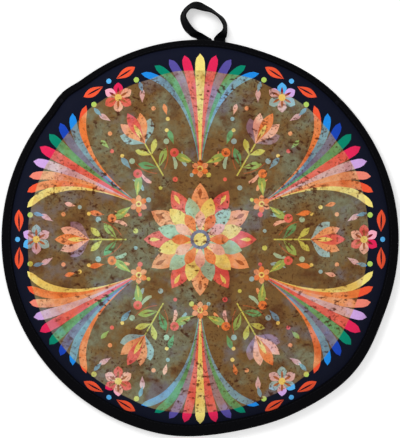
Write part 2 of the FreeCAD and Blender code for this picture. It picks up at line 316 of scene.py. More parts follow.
def tube_form(sections):
    """Points and faces of a form through equally long closed sections, capped at its ends."""
    count = len(sections[0])
    points = [p for section in sections for p in section]
    faces = []
    for j in range(len(sections) - 1):
        a, b = j * count, (j + 1) * count
        for k in range(count):
            n = (k + 1) % count
            faces.append((a + k, a + n, b + n, b + k))
    faces.append(tuple(reversed(range(count))))
    faces.append(tuple(range(len(points) - count, len(points))))
    return points, faces


RIM_POINTS = 360
RIM_ANGLES = np.arange(RIM_POINTS) * 360.0 / RIM_POINTS

# Insets of a disc's rings: close near the binding, wide in the middle
DISC_INSETS = (NOSE, 3.0, 5.2, 6.2, 7.2, 8.2, 9.2, 10.2, 11.4, 12.8, 14.5, 16.5, 19, 22, 26, 31, 37,
               44, 52, 61, 71, 82, 94, 107, 120, 132, 142, 149)


def disc_ring(inset):
    return plan_of(RIM_ANGLES, np.full(RIM_POINTS, float(inset)))


def disc_side(surface):
    """Points of a disc's face, ring by ring, and its middle."""
    points = []
    for inset in DISC_INSETS:
        x, y = disc_ring(inset)
        points += list(zip(x, y, surface(x, y)))
    zero = np.array([0.0])
    points.append((0.0, 0.0, float(surface(zero, zero)[0])))
    return points


def disc_faces(start, up):
    """Faces over the points of disc_side, which begin at start."""
    faces = []
    for j in range(len(DISC_INSETS)):
        a, b = start + j * RIM_POINTS, start + (j + 1) * RIM_POINTS
        at_middle = j == len(DISC_INSETS) - 1
        for k in range(RIM_POINTS):
            n = (k + 1) % RIM_POINTS
            face = (a + k, a + n, b) if at_middle else (a + k, a + n, b + n, b + k)
            faces.append(face if up else face[::-1])
    return faces


def rim_faces(lower, upper):
    return [(lower + k, lower + (k + 1) % RIM_POINTS, upper + (k + 1) % RIM_POINTS, upper + k)
            for k in range(RIM_POINTS)]


def plain_disc(name, lower, upper, material):
    """A closed disc between two surfaces, such as a wadding."""
    below, above = disc_side(lower), disc_side(upper)
    points = below + above
    faces = disc_faces(0, False) + disc_faces(len(below), True) + rim_faces(0, len(below))
    return new_piece(name, points, faces, points, material)


# The printed design: motifs of its own on a dark ground, each a flat colour
def linear(r, g, b):
    """A colour as it is seen, of 255, in linear light."""
    def channel(c):
        c /= 255
        return c / 12.92 if c <= 0.04045 else ((c + 0.055) / 1.055) ** 2.4
    return (channel(r), channel(g), channel(b), 1.0)


INK = {
    "ground": linear(12, 16, 34),
    "red": linear(238, 84, 50),
    "crimson": linear(226, 36, 86),
    "wine": linear(122, 26, 34),
    "salmon": linear(240, 132, 112),
    "pink": linear(246, 170, 190),
    "lilac": linear(206, 164, 226),
    "yellow": linear(242, 222, 122),
    "lime": linear(176, 206, 96),
    "green": linear(84, 168, 92),
    "emerald": linear(0, 132, 104),
    "teal": linear(112, 196, 204),
    "sky": linear(86, 176, 236),
    "azure": linear(28, 136, 226),
    "royal": linear(22, 66, 178),
    "violet": linear(86, 76, 156),
}
PETAL_STEPS = 11


class Design:
    """Shapes in the plan, in millimetres, later ones over earlier ones."""

    def __init__(self):
        self.shapes = []

    def add(self, points, ink):
        area = sum(a[0] * b[1] - b[0] * a[1] for a, b in zip(points, points[1:] + points[:1]))
        self.shapes.append((points if area > 0 else points[::-1], ink))

    def dot(self, place, radius, ink):
        x, y = place
        count = 10 if radius < 3 else 18
        self.add([(x + radius * math.cos(2 * math.pi * k / count),
                   y + radius * math.sin(2 * math.pi * k / count)) for k in range(count)], ink)

    def stroke(self, start, bend, end, widths, ink, count=14):
        """A curved brush stroke from start to end, with its width at five even places."""
        left, right = [], []
        for k in range(count + 1):
            t = k / count
            x = (1 - t) ** 2 * start[0] + 2 * t * (1 - t) * bend[0] + t * t * end[0]
            y = (1 - t) ** 2 * start[1] + 2 * t * (1 - t) * bend[1] + t * t * end[1]
            dx = (1 - t) * (bend[0] - start[0]) + t * (end[0] - bend[0])
            dy = (1 - t) * (bend[1] - start[1]) + t * (end[1] - bend[1])
            size = math.hypot(dx, dy) or 1
            place = t * (len(widths) - 1)
            j = min(int(place), len(widths) - 2)
            width = widths[j] + (widths[j + 1] - widths[j]) * (place - j)
            width *= 0.5 * min(1.0, math.sqrt(max(1 - t, 0) * count / 1.6))
            left.append((x - dy / size * width, y + dx / size * width))
            right.append((x + dy / size * width, y - dx / size * width))
        self.add(left[:-1] + [((left[-1][0] + right[-1][0]) / 2, (left[-1][1] + right[-1][1]) / 2)]
                 + right[-2::-1], ink)

    def petal(self, place, direction, length, width, ink, fullness=0.62):
        """A drop that is pointed where it starts and round or pointed where it ends."""
        turn = math.radians(direction)
        along, across = (math.cos(turn), math.sin(turn)), (-math.sin(turn), math.cos(turn))
        left, right = [], []
        for k in range(PETAL_STEPS + 1):
            t = k / PETAL_STEPS
            half = 0
            if 0 < t < 1:
                half = width / 2 * math.sin(math.pi * t ** (1 / fullness) ** 0.8) ** 0.9
            px, py = place[0] + along[0] * length * t, place[1] + along[1] * length * t
            left.append((px + across[0] * half, py + across[1] * half))
            right.append((px - across[0] * half, py - across[1] * half))
        self.add(left + right[-2:0:-1], ink)


def at(radius, angle):
    return radius * math.cos(math.radians(angle)), radius * math.sin(math.radians(angle))


def draw_dahlia(d):
    for ring, inks, reach, width in (
        (0, ("crimson", "salmon"), 43, 13.5),
        (1, ("yellow", "teal"), 33, 11.0),
        (2, ("red", "pink"), 22, 8.0),
    ):
        for k in range(12):
            turn = 30 * (k + 0.5 * (ring % 2))
            d.petal(at(5, turn), turn, reach - 5, width, inks[k % 2])
            if ring == 0:
                d.petal(at(30, turn), turn, 9, 3.0, "wine" if k % 2 else "yellow")
    d.dot((0, 0), 7.5, "royal")
    d.dot((0, 0), 5.0, "yellow")
    for k in range(24):
        d.dot(at(49.5, 15 * k + 7.5), 1.5 + 0.5 * (k % 2), ("sky", "crimson", "lime")[k % 3])


def draw_fan(d, middle, inks, reach):
    """Long strokes that spring from one place and part towards the rim, like a fountain."""
    root = at(54, middle)
    for j in (-4, 4, -3, 3, -2, 2, -1, 1, 0):
        tip = at(reach - 0.85 * abs(j) ** 1.55, middle + 4.9 * j)
        bend = at(104 + 4.2 * abs(j), middle + 0.9 * j)
        thick = 7.6 - 0.55 * abs(j)
        d.stroke(root, bend, tip, (0.9, 2.0, 3.4, 5.4, thick, thick * 0.9), inks[j + 4], count=22)
    for side in (-1, 1):
        place = at(58, middle + side * 4)
        d.petal(place, middle + side * 66, 17, 6.0, "green")
        d.petal(place, middle + side * 66, 12, 1.5, "lime")
        d.petal(at(75, middle + side * 15.5), middle + side * 20, 12, 4.2, inks[4 + 3 * side])
    for k in range(6):
        d.petal(root, middle + 60 * k, 7.0, 4.2, ("red", "salmon")[k % 2])
    d.dot(root, 2.3, "yellow")
    d.dot(root, 1.1, "wine")


def draw_spray(d, middle, inks):
    """A stem with a tulip, leaves and berries, between two fans."""
    stem_end = at(90, middle)
    d.stroke(at(56, middle), at(72, middle), stem_end, (1.1, 1.1, 1.1, 1.1, 0.9), "lime")
    for side in (-1, 1):
        place = at(63, middle)
        d.petal(place, middle + side * 50, 16, 5.6, "emerald" if side > 0 else "green")
        d.petal(place, middle + side * 50, 12, 1.2, "ground")
        d.petal(at(74, middle), middle + side * 44, 13, 4.6, "lime")
        place = at(69, middle + side * 13.5)
        d.dot(place, 3.4, inks[0])
        d.dot(place, 1.2, "wine")
        d.dot(at(79, middle + side * 11), 2.2, inks[3])
        d.dot(at(87, middle + side * 13), 1.5, "yellow")
        d.stroke(at(60, middle + side * 3), at(66, middle + side * 10), at(77, middle + side * 10.4),
                 (0.7, 0.7, 0.7), "wine", count=10)
    place = at(84, middle)
    for side in (-1, 1):
        d.petal(place, middle + side * 42, 20, 8.4, inks[1])
        d.petal(place, middle + side * 21, 24, 8.0, inks[2])
    d.petal(place, middle, 27, 8.4, inks[0])
    d.petal(place, middle, 17, 3.4, "yellow")
    d.petal(place, middle, 9, 1.4, "wine")


def draw_rosette(d, radius, angle, size, petals, inks):
    place = at(radius, angle)
    for k in range(petals):
        turn = angle + 360 / petals * (k + 0.5)
        d.petal(place, turn, size, size * 0.62, inks[k % len(inks)])
        d.petal(place, turn, size * 0.7, size * 0.16, "wine")
    d.dot(place, size * 0.24, "yellow")


def draw_rim(d, middle, inks):
    """Small things on the dark ring between two fans."""
    draw_rosette(d, 125, middle, 11.5, 6, inks)
    for side in (-1, 1):
        place = at(138.2, middle + side * 2.4)
        d.petal(place, middle + side * 88, 17, 7.0, "red", fullness=0.8)
        d.petal(place, middle + side * 88, 14, 1.3, "ground", fullness=0.8)
        d.petal(at(113, middle + side * 7.0), middle + side * 30, 11, 4.0, "lilac")
        d.petal(at(120, middle + side * 8.6), middle + side * 14, 9, 3.2, "azure")
        d.dot(at(131, middle + side * 8.2), 2.1, "lime")
        d.dot(at(106, middle + side * 10.4), 1.7, "salmon")
    d.dot(at(139.5, middle), 2.0, "sky")


def draw_scatter(d):
    """Commas, leaves and dots that fill the spaces round the middle flower."""
    for k in range(12):
        middle = 30 * k
        for side in (-1, 1):
            near = at(57, middle + side * 10.5)
            bend, tip = at(61, middle + side * 13.5), at(69, middle + side * 11.5)
            ink = ("sky", "pink", "salmon", "teal")[(k + side) % 4]
            d.stroke(near, bend, tip, (1.6, 3.0, 2.2, 0.8), ink, count=9)
        d.petal(at(98, middle + 15), middle + 15, 9, 3.4, ("red", "green", "pink")[k % 3])
        d.dot(at(95, middle + 15), 1.6, ("yellow", "crimson", "sky")[k % 3])


def draw_design():
    d = Design()
    sides = ("yellow", "red", "salmon", "lilac", "crimson", "emerald", "royal", "azure", "red")
    ends = ("azure", "emerald", "violet", "crimson", "yellow", "crimson", "violet", "emerald", "azure")
    sprays = (("crimson", "sky", "salmon", "teal"), ("red", "violet", "pink", "sky"))
    rims = (("pink", "crimson"), ("sky", "lilac"))
    draw_scatter(d)
    for middle, inks in ((150, sides[::-1]), (210, sides), (30, sides), (330, sides[::-1]),
                         (90, ends), (270, ends)):
        draw_fan(d, middle, inks, 141.5)
    for k in range(6):
        draw_spray(d, 60 * k, sprays[k % 2])
        draw_rim(d, 60 * k, rims[k % 2])
    draw_dahlia(d)
    return d.shapes


SHAPES = draw_design()
CLOSE = 0.03  # millimetres between points that count as one
PRINT_STEP = 2.6  # between the points that fill the printed side's middle
PRINT_MIDDLE = 127  # how far out they go
PRINT_RINGS = DISC_INSETS[2:16]  # the rings round them


def first_of_close_points(flat):
    """For each point, the first one that crossing outlines left almost on the same place."""
    tree = KDTree(len(flat))
    for index, point in enumerate(flat):
        tree.insert((point[0], point[1], 0), index)
    tree.balance()
    same = list(range(len(flat)))
    for index, point in enumerate(flat):
        close = [k for _, k, _ in tree.find_range((point[0], point[1], 0), CLOSE)]
        same[index] = min(same[k] for k in close)
    return same


def printed_face(surface, mirrored):
    """The disc's printed side: points, triangles and their inks. The rim's points come first."""
    x, y = disc_ring(NOSE)
    verts = [Vector((a, b)) for a, b in zip(x, y)]
    outlines = [list(range(RIM_POINTS))]
    inks = ["ground"]
    for points, ink in SHAPES:
        first = len(verts)
        sign = -1 if mirrored else 1
        ordered = points[::-1] if mirrored else points
        verts += [Vector((sign * px, py)) for px, py in ordered]
        outlines.append(list(range(first, len(verts))))
        inks.append(ink)
    for inset in PRINT_RINGS:
        verts += [Vector((a, b)) for a, b in zip(*disc_ring(inset))]
    reach = int(POUCH_RADIUS / PRINT_STEP) + 1
    for j in range(-reach, reach + 1):
        for k in range(-reach, reach + 1):
            gx, gy = PRINT_STEP * (k + 0.5 * (j % 2)), PRINT_STEP * 0.866 * j
            if math.hypot(gx, gy) < PRINT_MIDDLE:
                verts.append(Vector((gx, gy)))
    out, _, triangles, from_verts, _, from_faces = delaunay_2d_cdt(verts, [], outlines, 1, 0.0001, True)
    order = [None] * RIM_POINTS
    rest = []
    for index, sources in enumerate(from_verts):
        rim = [s for s in sources if s < RIM_POINTS]
        if rim:
            order[rim[0]] = index
        else:
            rest.append(index)
    order += rest
    place = {index: k for k, index in enumerate(order)}
    flat = [out[i] for i in order]
    same = first_of_close_points(flat)
    kept = {}
    for corners, sources in zip(triangles, from_faces):
        face = tuple(same[place[i]] for i in corners)
        key = tuple(sorted(face))
        if sources and len(set(face)) == 3 and not kept.pop(key, None):
            kept[key] = (face, INK[inks[max(sources)]])
    inner = sorted({i for f, _ in kept.values() for i in f if i >= RIM_POINTS})
    used = list(range(RIM_POINTS)) + inner
    new_place = {index: k for k, index in enumerate(used)}
    px, py = (np.array([flat[i][axis] for i in used]) for axis in (0, 1))
    faces = [tuple(new_place[i] for i in f) for f, _ in kept.values()]
    return list(zip(px, py, surface(px, py))), faces, [ink for _, ink in kept.values()]


def printed_disc(name, outer, inner, up, material):
    """A closed cloth disc with the design on its outer side."""
    points, faces, colours = printed_face(outer, mirrored=not up)
    if not up:
        faces = [f[::-1] for f in faces]
    start = len(points)
    inside = disc_side(inner)
    faces_in = disc_faces(start, not up)
    edge = rim_faces(start, 0) if up else rim_faces(0, start)
    everything = points + inside
    colours += [INK["ground"]] * (len(faces_in) + len(edge))
    return new_piece(name, everything, faces + faces_in + edge, everything, material, colours)


# Materials
WAVE_UNIT = 20  # radians of the banded texture's waves in one unit, at scale 1


class Nodes:
    def __init__(self, name):
        self.material = bpy.data.materials.new(name)
        self.material.use_nodes = True
        self.tree = self.material.node_tree
        self.shader = self.tree.nodes["Principled BSDF"]

    def node(self, kind, **settings):
        made = self.tree.nodes.new(kind)
        inputs = settings.pop("inputs", {})
        for key, value in settings.items():
            setattr(made, key, value)
        for key, value in inputs.items():
            self.put(made, key, value)
        return made

    def put(self, node, key, value):
        socket = node.inputs[key]
        if isinstance(value, bpy.types.NodeSocket):
            self.tree.links.new(value, socket)
        else:
            socket.default_value = value

    def attribute(self, name, output="Vector"):
        return self.node("ShaderNodeAttribute", attribute_name=name).outputs[output]

    def maths(self, operation, a, b):
        made = self.node("ShaderNodeMath", operation=operation)
        self.put(made, 0, a)
        self.put(made, 1, b)
        return made.outputs[0]

    def vector(self, operation, a, b):
        made = self.node("ShaderNodeVectorMath", operation=operation)
        self.put(made, 0, a)
        self.put(made, 1, b)
        return made.outputs["Value" if operation == "DISTANCE" else "Vector"]

    def mix(self, factor, a, b):
        made = self.node("ShaderNodeMix", data_type="RGBA")
        self.put(made, 0, factor)
        self.put(made, 6, a)
        self.put(made, 7, b)
        return made.outputs[2]

    def noise(self, vector, scale, detail=3.0, roughness=0.55):
        made = self.node("ShaderNodeTexNoise", inputs={"Vector": vector, "Scale": scale,
                                                       "Detail": detail, "Roughness": roughness})
        return made.outputs["Fac"]

    def band(self, value, low, high, out_low=0.0, out_high=1.0):
        inputs = dict(enumerate((value, low, high, out_low, out_high)))
        return self.node("ShaderNodeMapRange", inputs=inputs).outputs[0]

    def gamma(self, colour, power):
        return self.node("ShaderNodeGamma", inputs={0: colour, 1: power}).outputs[0]

    def threads(self, vector, axis, pitch):
        """Waves across one axis, one for each thread, with pitch metres between threads."""
        inputs = {"Vector": vector, "Scale": 2 * math.pi / pitch / WAVE_UNIT, "Distortion": 0.0}
        made = self.node("ShaderNodeTexWave", wave_type="BANDS", bands_direction=axis, inputs=inputs)
        return made.outputs["Fac"]

    def weave(self, vector, pitch):
        """Height of a plain weave whose threads are pitch metres apart."""
        along, across = (self.threads(vector, axis, pitch) for axis in "XY")
        return self.maths("MULTIPLY", along, across)

    def bump(self, height, strength, distance, after=None):
        inputs = {"Height": height, "Strength": strength, "Distance": distance}
        if after is not None:
            inputs["Normal"] = after
        return self.node("ShaderNodeBump", inputs=inputs).outputs[0]

    def finish(self, colour, roughness, normal, sheen, specular):
        self.put(self.shader, "Base Color", colour)
        self.put(self.shader, "Roughness", roughness)
        self.put(self.shader, "Normal", normal)
        self.shader.inputs["Sheen Weight"].default_value = sheen
        self.shader.inputs["Sheen Roughness"].default_value = 0.5
        self.shader.inputs["Specular IOR Level"].default_value = specular
        return self.material


# The picture of the flatbread: its place in metres, and its colours as they are seen
BREAD_MIDDLE, BREAD_RADIUS, BREAD_EDGE = (-0.0006, -0.0016, 0), 0.1304, 0.0005
BREAD_WANDER = 0.011  # how far its edge strays from a circle
BREAD_SHARE = 0.5  # of the colour that is bread's
DISPLAY_GAMMA = 2.2
FLOURY, GOLDEN, TOASTED = (0.88, 0.87, 0.62, 1), (0.86, 0.60, 0.25, 1), (0.60, 0.32, 0.10, 1)
GRAINY, COOL, CHARRED = (0.60, 0.44, 0.20, 1), (0.80, 0.75, 0.78, 1), (0.22, 0.10, 0.06, 1)
# Two sizes of flecks: their stretch, their fineness, the fineness of their clumps, how dark they are
FLECKS = (((0.75, 1.0, 1.0), 330.0, 40.0, 0.72), ((1.0, 0.9, 1.0), 560.0, 27.0, 0.55))
BLACK = (0.0, 0.0, 0.0, 1)


def printed_cloth():
    """The print, with a picture of a toasted flatbread laid half-clear over most of it."""
    n = Nodes("printed_cloth")
    plan = n.attribute("plan")
    ink = n.attribute("print", "Color")
    wander = n.noise(plan, 11.0, 3.0)
    middle = n.vector("DISTANCE", n.vector("MULTIPLY", plan, (1, 1, 0)), BREAD_MIDDLE)
    stray = n.maths("MULTIPLY", n.maths("SUBTRACT", wander, 0.5), BREAD_WANDER)
    reach = n.maths("ADD", middle, stray)
    inside = n.band(reach, BREAD_RADIUS, BREAD_RADIUS + BREAD_EDGE, 1.0, 0.0)
    patches = n.noise(plan, 21.0, 6.0, 0.66)
    stains = n.noise(n.vector("ADD", plan, (0.3, 0.1, 0.0)), 46.0, 5.0, 0.62)
    fine = n.noise(n.vector("ADD", plan, (0.1, 0.5, 0.0)), 240.0, 3.0, 0.6)
    toast = n.mix(n.band(patches, 0.42, 0.56), FLOURY, GOLDEN)
    toast = n.mix(n.band(stains, 0.52, 0.66, 0.0, 0.8), toast, TOASTED)
    toast = n.mix(n.band(fine, 0.40, 0.72, 0.0, 0.4), toast, GRAINY)
    cool = n.noise(n.vector("ADD", plan, (0.7, 0.2, 0.0)), 33.0, 4.0, 0.6)
    toast = n.mix(n.band(cool, 0.54, 0.66, 0.0, 0.65), toast, COOL)
    baked = n.mix(BREAD_SHARE, n.gamma(ink, 1 / DISPLAY_GAMMA), toast)
    for stretch, size, clump_size, depth in FLECKS:
        flecks = n.noise(n.vector("MULTIPLY", plan, stretch), size, 2.0, 0.5)
        clumps = n.noise(n.vector("ADD", plan, (size, 0.0, 0.0)), clump_size, 3.0)
        here = n.maths("MULTIPLY", n.band(flecks, 0.57, 0.69), n.band(clumps, 0.42, 0.58))
        baked = n.mix(n.maths("MULTIPLY", here, depth), baked, CHARRED)
    colour = n.mix(inside, ink, n.gamma(baked, DISPLAY_GAMMA))
    faded = n.mix(n.band(n.noise(plan, 900.0, 1.0), 0.3, 0.7, 0.0, 0.1), colour, BLACK)
    normal = n.bump(n.weave(plan, 0.00055), 0.25, 0.0001)
    normal = n.bump(n.noise(plan, 60.0, 4.0), 0.5, 0.0012, normal)
    return n.finish(faded, 0.85, normal, sheen=0.0, specular=0.10)


def lining_cloth():
    n = Nodes("lining_cloth")
    plan = n.attribute("plan")
    slub = n.noise(n.vector("MULTIPLY", plan, (1.0, 9.0, 1.0)), 120.0, 3.0)
    colour = n.mix(slub, (0.74, 0.70, 0.60, 1), (0.84, 0.80, 0.72, 1))
    normal = n.bump(n.weave(plan, 0.0007), 0.4, 0.00015)
    return n.finish(colour, 0.88, normal, sheen=0.08, specular=0.2)


def wadding_fibre():
    n = Nodes("wadding")
    plan = n.attribute("plan")
    fibres = n.noise(plan, 500.0, 5.0, 0.7)
    colour = n.mix(fibres, (0.78, 0.78, 0.75, 1), (0.92, 0.92, 0.90, 1))
    return n.finish(colour, 0.95, n.bump(fibres, 0.5, 0.0006), sheen=0.1, specular=0.1)


def tape_cloth(name, pitch, colour_low, colour_high):
    """Woven tape: plan holds the distance along the tape and across it."""
    n = Nodes(name)
    plan = n.attribute("plan")
    ribs = n.threads(plan, "X", pitch)
    warps = n.threads(plan, "Y", pitch * 0.55)
    lint = n.noise(plan, 420.0, 3.0, 0.6)
    colour = n.mix(lint, colour_low, colour_high)
    height = n.maths("ADD", ribs, n.maths("MULTIPLY", warps, 0.5))
    normal = n.bump(height, 0.55, 0.00022)
    normal = n.bump(n.noise(plan, 110.0, 3.0), 0.3, 0.0006, normal)
    return n.finish(colour, 0.74, normal, sheen=0.004, specular=0.05)


PRINTED = printed_cloth()
LINED = lining_cloth()
WADDED = wadding_fibre()
TAPED = tape_cloth("binding_tape", 0.0009, (0.0005, 0.0005, 0.0010, 1), (0.0016, 0.0016, 0.0026, 1))
THREAD = tape_cloth("thread", 0.0005, (0.004, 0.004, 0.006, 1), (0.009, 0.009, 0.013, 1))


# The padded discs: the covers' and the linings' faces
def front_cover_inside(x, y):
    return front_surface(x, y) - COVER


def back_cover_inside(x, y):
    return back_surface(x, y) + COVER


def front_lining_face(x, y):
    angle, inset = polar(x, y)
    folds = front_bottom(angle, inset) + LINING_PUCKERS * puckers(angle, inset)
    return folds + 0.4 * wrinkles(x, y, 11.0) - LINING_SINK


def front_lining_back(x, y):
    return front_lining_face(x, y) + LINING


def back_lining_face(x, y):
    angle, inset = polar(x, y)
    folds = back_top(angle, inset) + LINING_PUCKERS * puckers(angle, inset)
    return folds + 0.3 * wrinkles(x, y, 23.0) - LINING_SINK


def back_lining_back(x, y):
    return back_lining_face(x, y) - LINING


front_cover = printed_disc("front_cover_cloth", front_surface, front_cover_inside, True, PRINTED)
front_wadding = plain_disc("front_wadding_pad", front_lining_back, front_cover_inside, WADDED)
front_lining = plain_disc("front_lining_cloth", front_lining_face, front_lining_back, LINED)
back_cover = printed_disc("back_cover_cloth", back_surface, back_cover_inside, False, PRINTED)
back_wadding = plain_disc("back_wadding_pad", back_cover_inside, back_lining_back, WADDED)
back_lining = plain_disc("back_lining_cloth", back_lining_back, back_lining_face, LINED)


# The bindings: a tape folded over the discs' edges
def hand(run, seed):
    """How a hand-guided tape wanders along a seam, about 1 either way."""
    near = 0.6 * np.sin(run / 13 + seed) + 0.5 * np.sin(run / 5.3 + 2.1 * seed)
    return near + 0.35 * np.sin(run / 31 + seed)


WIDTH_STRAY, HEIGHT_STRAY = 0.22, 0.10  # of a binding, for each unit of the hand's wander
TAPE_CROWN = 0.14  # how far the tape's face stands up between its edges
FOLD_STRAIGHT = ROUNDING + 0.6  # from here inwards the tape lies flat


def binding_form(name, first, last, lowest, cavity_low, cavity_high, highest, seed):
    """Between two angles. The other arguments are heights by angle."""
    count = max(int(abs(last - first) * 1.6), 8)
    sections, plans = [], []
    for angle in np.linspace(first, last, count + 1):
        angle = float(angle)
        run = math.radians(angle) * POUCH_RADIUS
        width = float(binding_width(angle)) + WIDTH_STRAY * hand(run, seed)
        low = float(lowest(angle))
        high = float(highest(angle)) + HEIGHT_STRAY * hand(run, seed + 2)
        crest = high + TAPE_CROWN
        inner_low, inner_high = float(cavity_low(angle)), float(cavity_high(angle))
        middle, half = (low + high) / 2, (high - low) / 2
        profile = [(width, low + 0.12), (width - 0.5, low), (width * 0.66, low), (FOLD_STRAIGHT, low)]
        for turn in range(-75, 76, 15):
            round_in = ROUNDING * (1 - math.cos(math.radians(turn)) ** 0.8) * 0.9
            profile.append((round_in, middle + half * math.sin(math.radians(turn))))
        profile += [(FOLD_STRAIGHT, high), (width * 0.5, crest), (width * 0.75, crest),
                    (width - 0.6, high + 0.04), (width - 0.08, high - 0.22),
                    (width, inner_high + 0.1), (width - 0.1, inner_high),
                    (NOSE, inner_high), (NOSE, inner_low), (width - 0.1, inner_low)]
        section, plan = [], []
        across = 0.0
        before = profile[0]
        for inset, z in profile:
            across += math.hypot(inset - before[0], z - before[1])
            before = (inset, z)
            section.append((*spot(angle, inset), z))
            plan.append((run, across, 0.0))
        sections.append(section)
        plans.append(plan)
    points, faces = tube_form(sections)
    return new_piece(name, points, faces, [p for plan in plans for p in plan], TAPED)


def floor_level(angle):
    return 0.0


def tape_level(angle):
    return TAPE


def back_edge_top(angle):
    return TAPE + edge_thickness(angle)


def front_edge_top(angle):
    return front_edge_bottom(angle) + edge_thickness(angle)


def seam_top(angle):
    return front_edge_top(angle) + TAPE


def back_mouth_top(angle):
    return back_edge_top(angle) + TAPE


def front_mouth_low(angle):
    return front_edge_bottom(angle) - TAPE


LEFT, RIGHT = 90 + MOUTH_HALF_ANGLE, 90 - MOUTH_HALF_ANGLE  # the mouth's two ends
seam = binding_form("seam_binding_tape", LEFT, RIGHT + 360, floor_level, tape_level, front_edge_top,
                    seam_top, 1.0)
back_mouth = binding_form("back_mouth_binding_tape", RIGHT - 0.5, LEFT + 0.5, floor_level, tape_level,
                          back_edge_top, back_mouth_top, 4.0)
front_mouth = binding_form("front_mouth_binding_tape", RIGHT - 0.5, LEFT + 0.5, front_mouth_low,
                           front_edge_bottom, front_edge_top, seam_top, 7.0)


# Stitches, one by one: each thread's place along its length, and how thick it stands there
STITCH_STATIONS = ((-0.5, 0.25), (-0.36, 0.85), (-0.12, 1.0), (0.12, 1.0), (0.36, 0.85), (0.5, 0.25))
THREAD_SIDES = 6
STITCH_PITCH = 3.1
STITCH_SIZE = (STITCH_PITCH * 0.84, 0.5, 0.24)  # length, width and height
STITCH_REACH = POUCH_RADIUS - 5  # about how far from the middle the rows run
STITCH_LIFT = 0.10  # of a thread's middle over the tape
UP = Vector((0, 0, 1))


def stitch_form(points, faces, plans, middle, along, side, up, length, width, height):
    """Adds one stitch: a short thread that dips into the cloth at both ends."""
    sections = []
    for share, size in STITCH_STATIONS:
        centre = middle + along * (share * length) - up * (height * (1 - size) * 1.1)
        section = []
        for k in range(THREAD_SIDES):
            turn = 2 * math.pi * k / THREAD_SIDES
            sideways = side * (math.cos(turn) * width / 2 * size)
            section.append(tuple(centre + sideways + up * (math.sin(turn) * height * size)))
            plans.append((share * length, turn * width / 2, 0.0))
        sections.append(section)
    thread, thread_faces = tube_form(sections)
    faces += [tuple(len(points) + k for k in face) for face in thread_faces]
    points += thread


def stitch_row(name, first, last, surface):
    """A row of stitches along a binding, between two angles."""
    points, faces, plans = [], [], []
    length = abs(math.radians(last - first)) * STITCH_REACH
    count = int(length / STITCH_PITCH)
    chance = random.Random(name)
    for k in range(count):
        angle = first + (last - first) * (k + 0.5) / count
        turn = math.radians(angle)
        inset = float(binding_width(angle)) - STITCH_INSET + chance.uniform(-0.12, 0.12)
        lean = chance.uniform(-0.05, 0.05)
        along = Vector((-math.sin(turn + lean), math.cos(turn + lean), 0))
        rise = float(surface(angle + 1)) - float(surface(angle - 1))
        slope = rise / (2 * math.radians(1) * POUCH_RADIUS)
        along = (along + Vector((0, 0, slope))).normalized()
        side = along.cross(UP).normalized()
        middle = Vector((*spot(angle, inset), float(surface(angle)) + STITCH_LIFT))
        stitch_form(points, faces, plans, middle, along, side, side.cross(along), *STITCH_SIZE)
    return new_piece(name, points, faces, plans, THREAD)


seam_row = stitch_row("seam_stitches", LEFT + 2.0, RIGHT + 358.0, seam_top)
back_row = stitch_row("back_mouth_stitches", RIGHT + 1.5, LEFT - 1.5, back_mouth_top)
front_row = stitch_row("front_mouth_stitches", RIGHT + 1.5, LEFT - 1.5, seam_top)

TACK_THREADS, TACK_SPACING = 9, 0.11  # in each bar tack, and the degrees between them
TACK_SIZE, TACK_LIFT = (3.0, 0.34, 0.34), 0.24
TACK_OUTER = 3.0  # a tack lies midway between here and the binding's edge


def bar_tack_form():
    points, faces, plans = [], [], []
    chance = random.Random(8)
    for middle in (RIGHT - 2.0, LEFT + 2.0):
        for k in range(TACK_THREADS):
            angle = middle + (k - TACK_THREADS // 2) * TACK_SPACING
            turn = math.radians(angle)
            width = float(binding_width(angle))
            inset = TACK_OUTER + (width - TACK_OUTER) / 2 - 0.2 + chance.uniform(-0.15, 0.15)
            along = Vector((math.cos(turn), math.sin(turn), 0))
            side = Vector((-math.sin(turn), math.cos(turn), 0))
            centre = Vector((*spot(angle, inset), float(seam_top(angle)) + TACK_LIFT))
            stitch_form(points, faces, plans, centre, along, side, UP, *TACK_SIZE)
    return new_piece("mouth_bar_tack_threads", points, faces, plans, THREAD)


tacks = bar_tack_form()

# What each piece stands for; the back ones join the pouch's body.
for piece, slot, *nodes in (
    (front_cover, "printed_cloth", "front_cover", "lip_cover"),
    (front_wadding, "wadding", "front_wadding", "lip_wadding"),
    (front_lining, "lining_cloth", "front_lining", "lip_lining"),
    (front_mouth, "binding_tape", "front_mouth_binding"),
    (front_row, "thread", "front_mouth_stitching"),
):
    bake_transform(piece)
    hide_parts(*nodes)
for piece, slot, node in (
    (back_cover, "printed_cloth", "back_cover"),
    (back_wadding, "wadding", "back_wadding"),
    (back_lining, "lining_cloth", "back_lining"),
    (seam, "binding_tape", "seam_binding"),
    (back_mouth, "binding_tape", "back_mouth_binding"),
    (seam_row, "thread", "seam_stitching"),
    (back_row, "thread", "back_mouth_stitching"),
    (tacks, "thread", "mouth_bar_tacks"),
):
    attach(piece, "pouch")
    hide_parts(node)

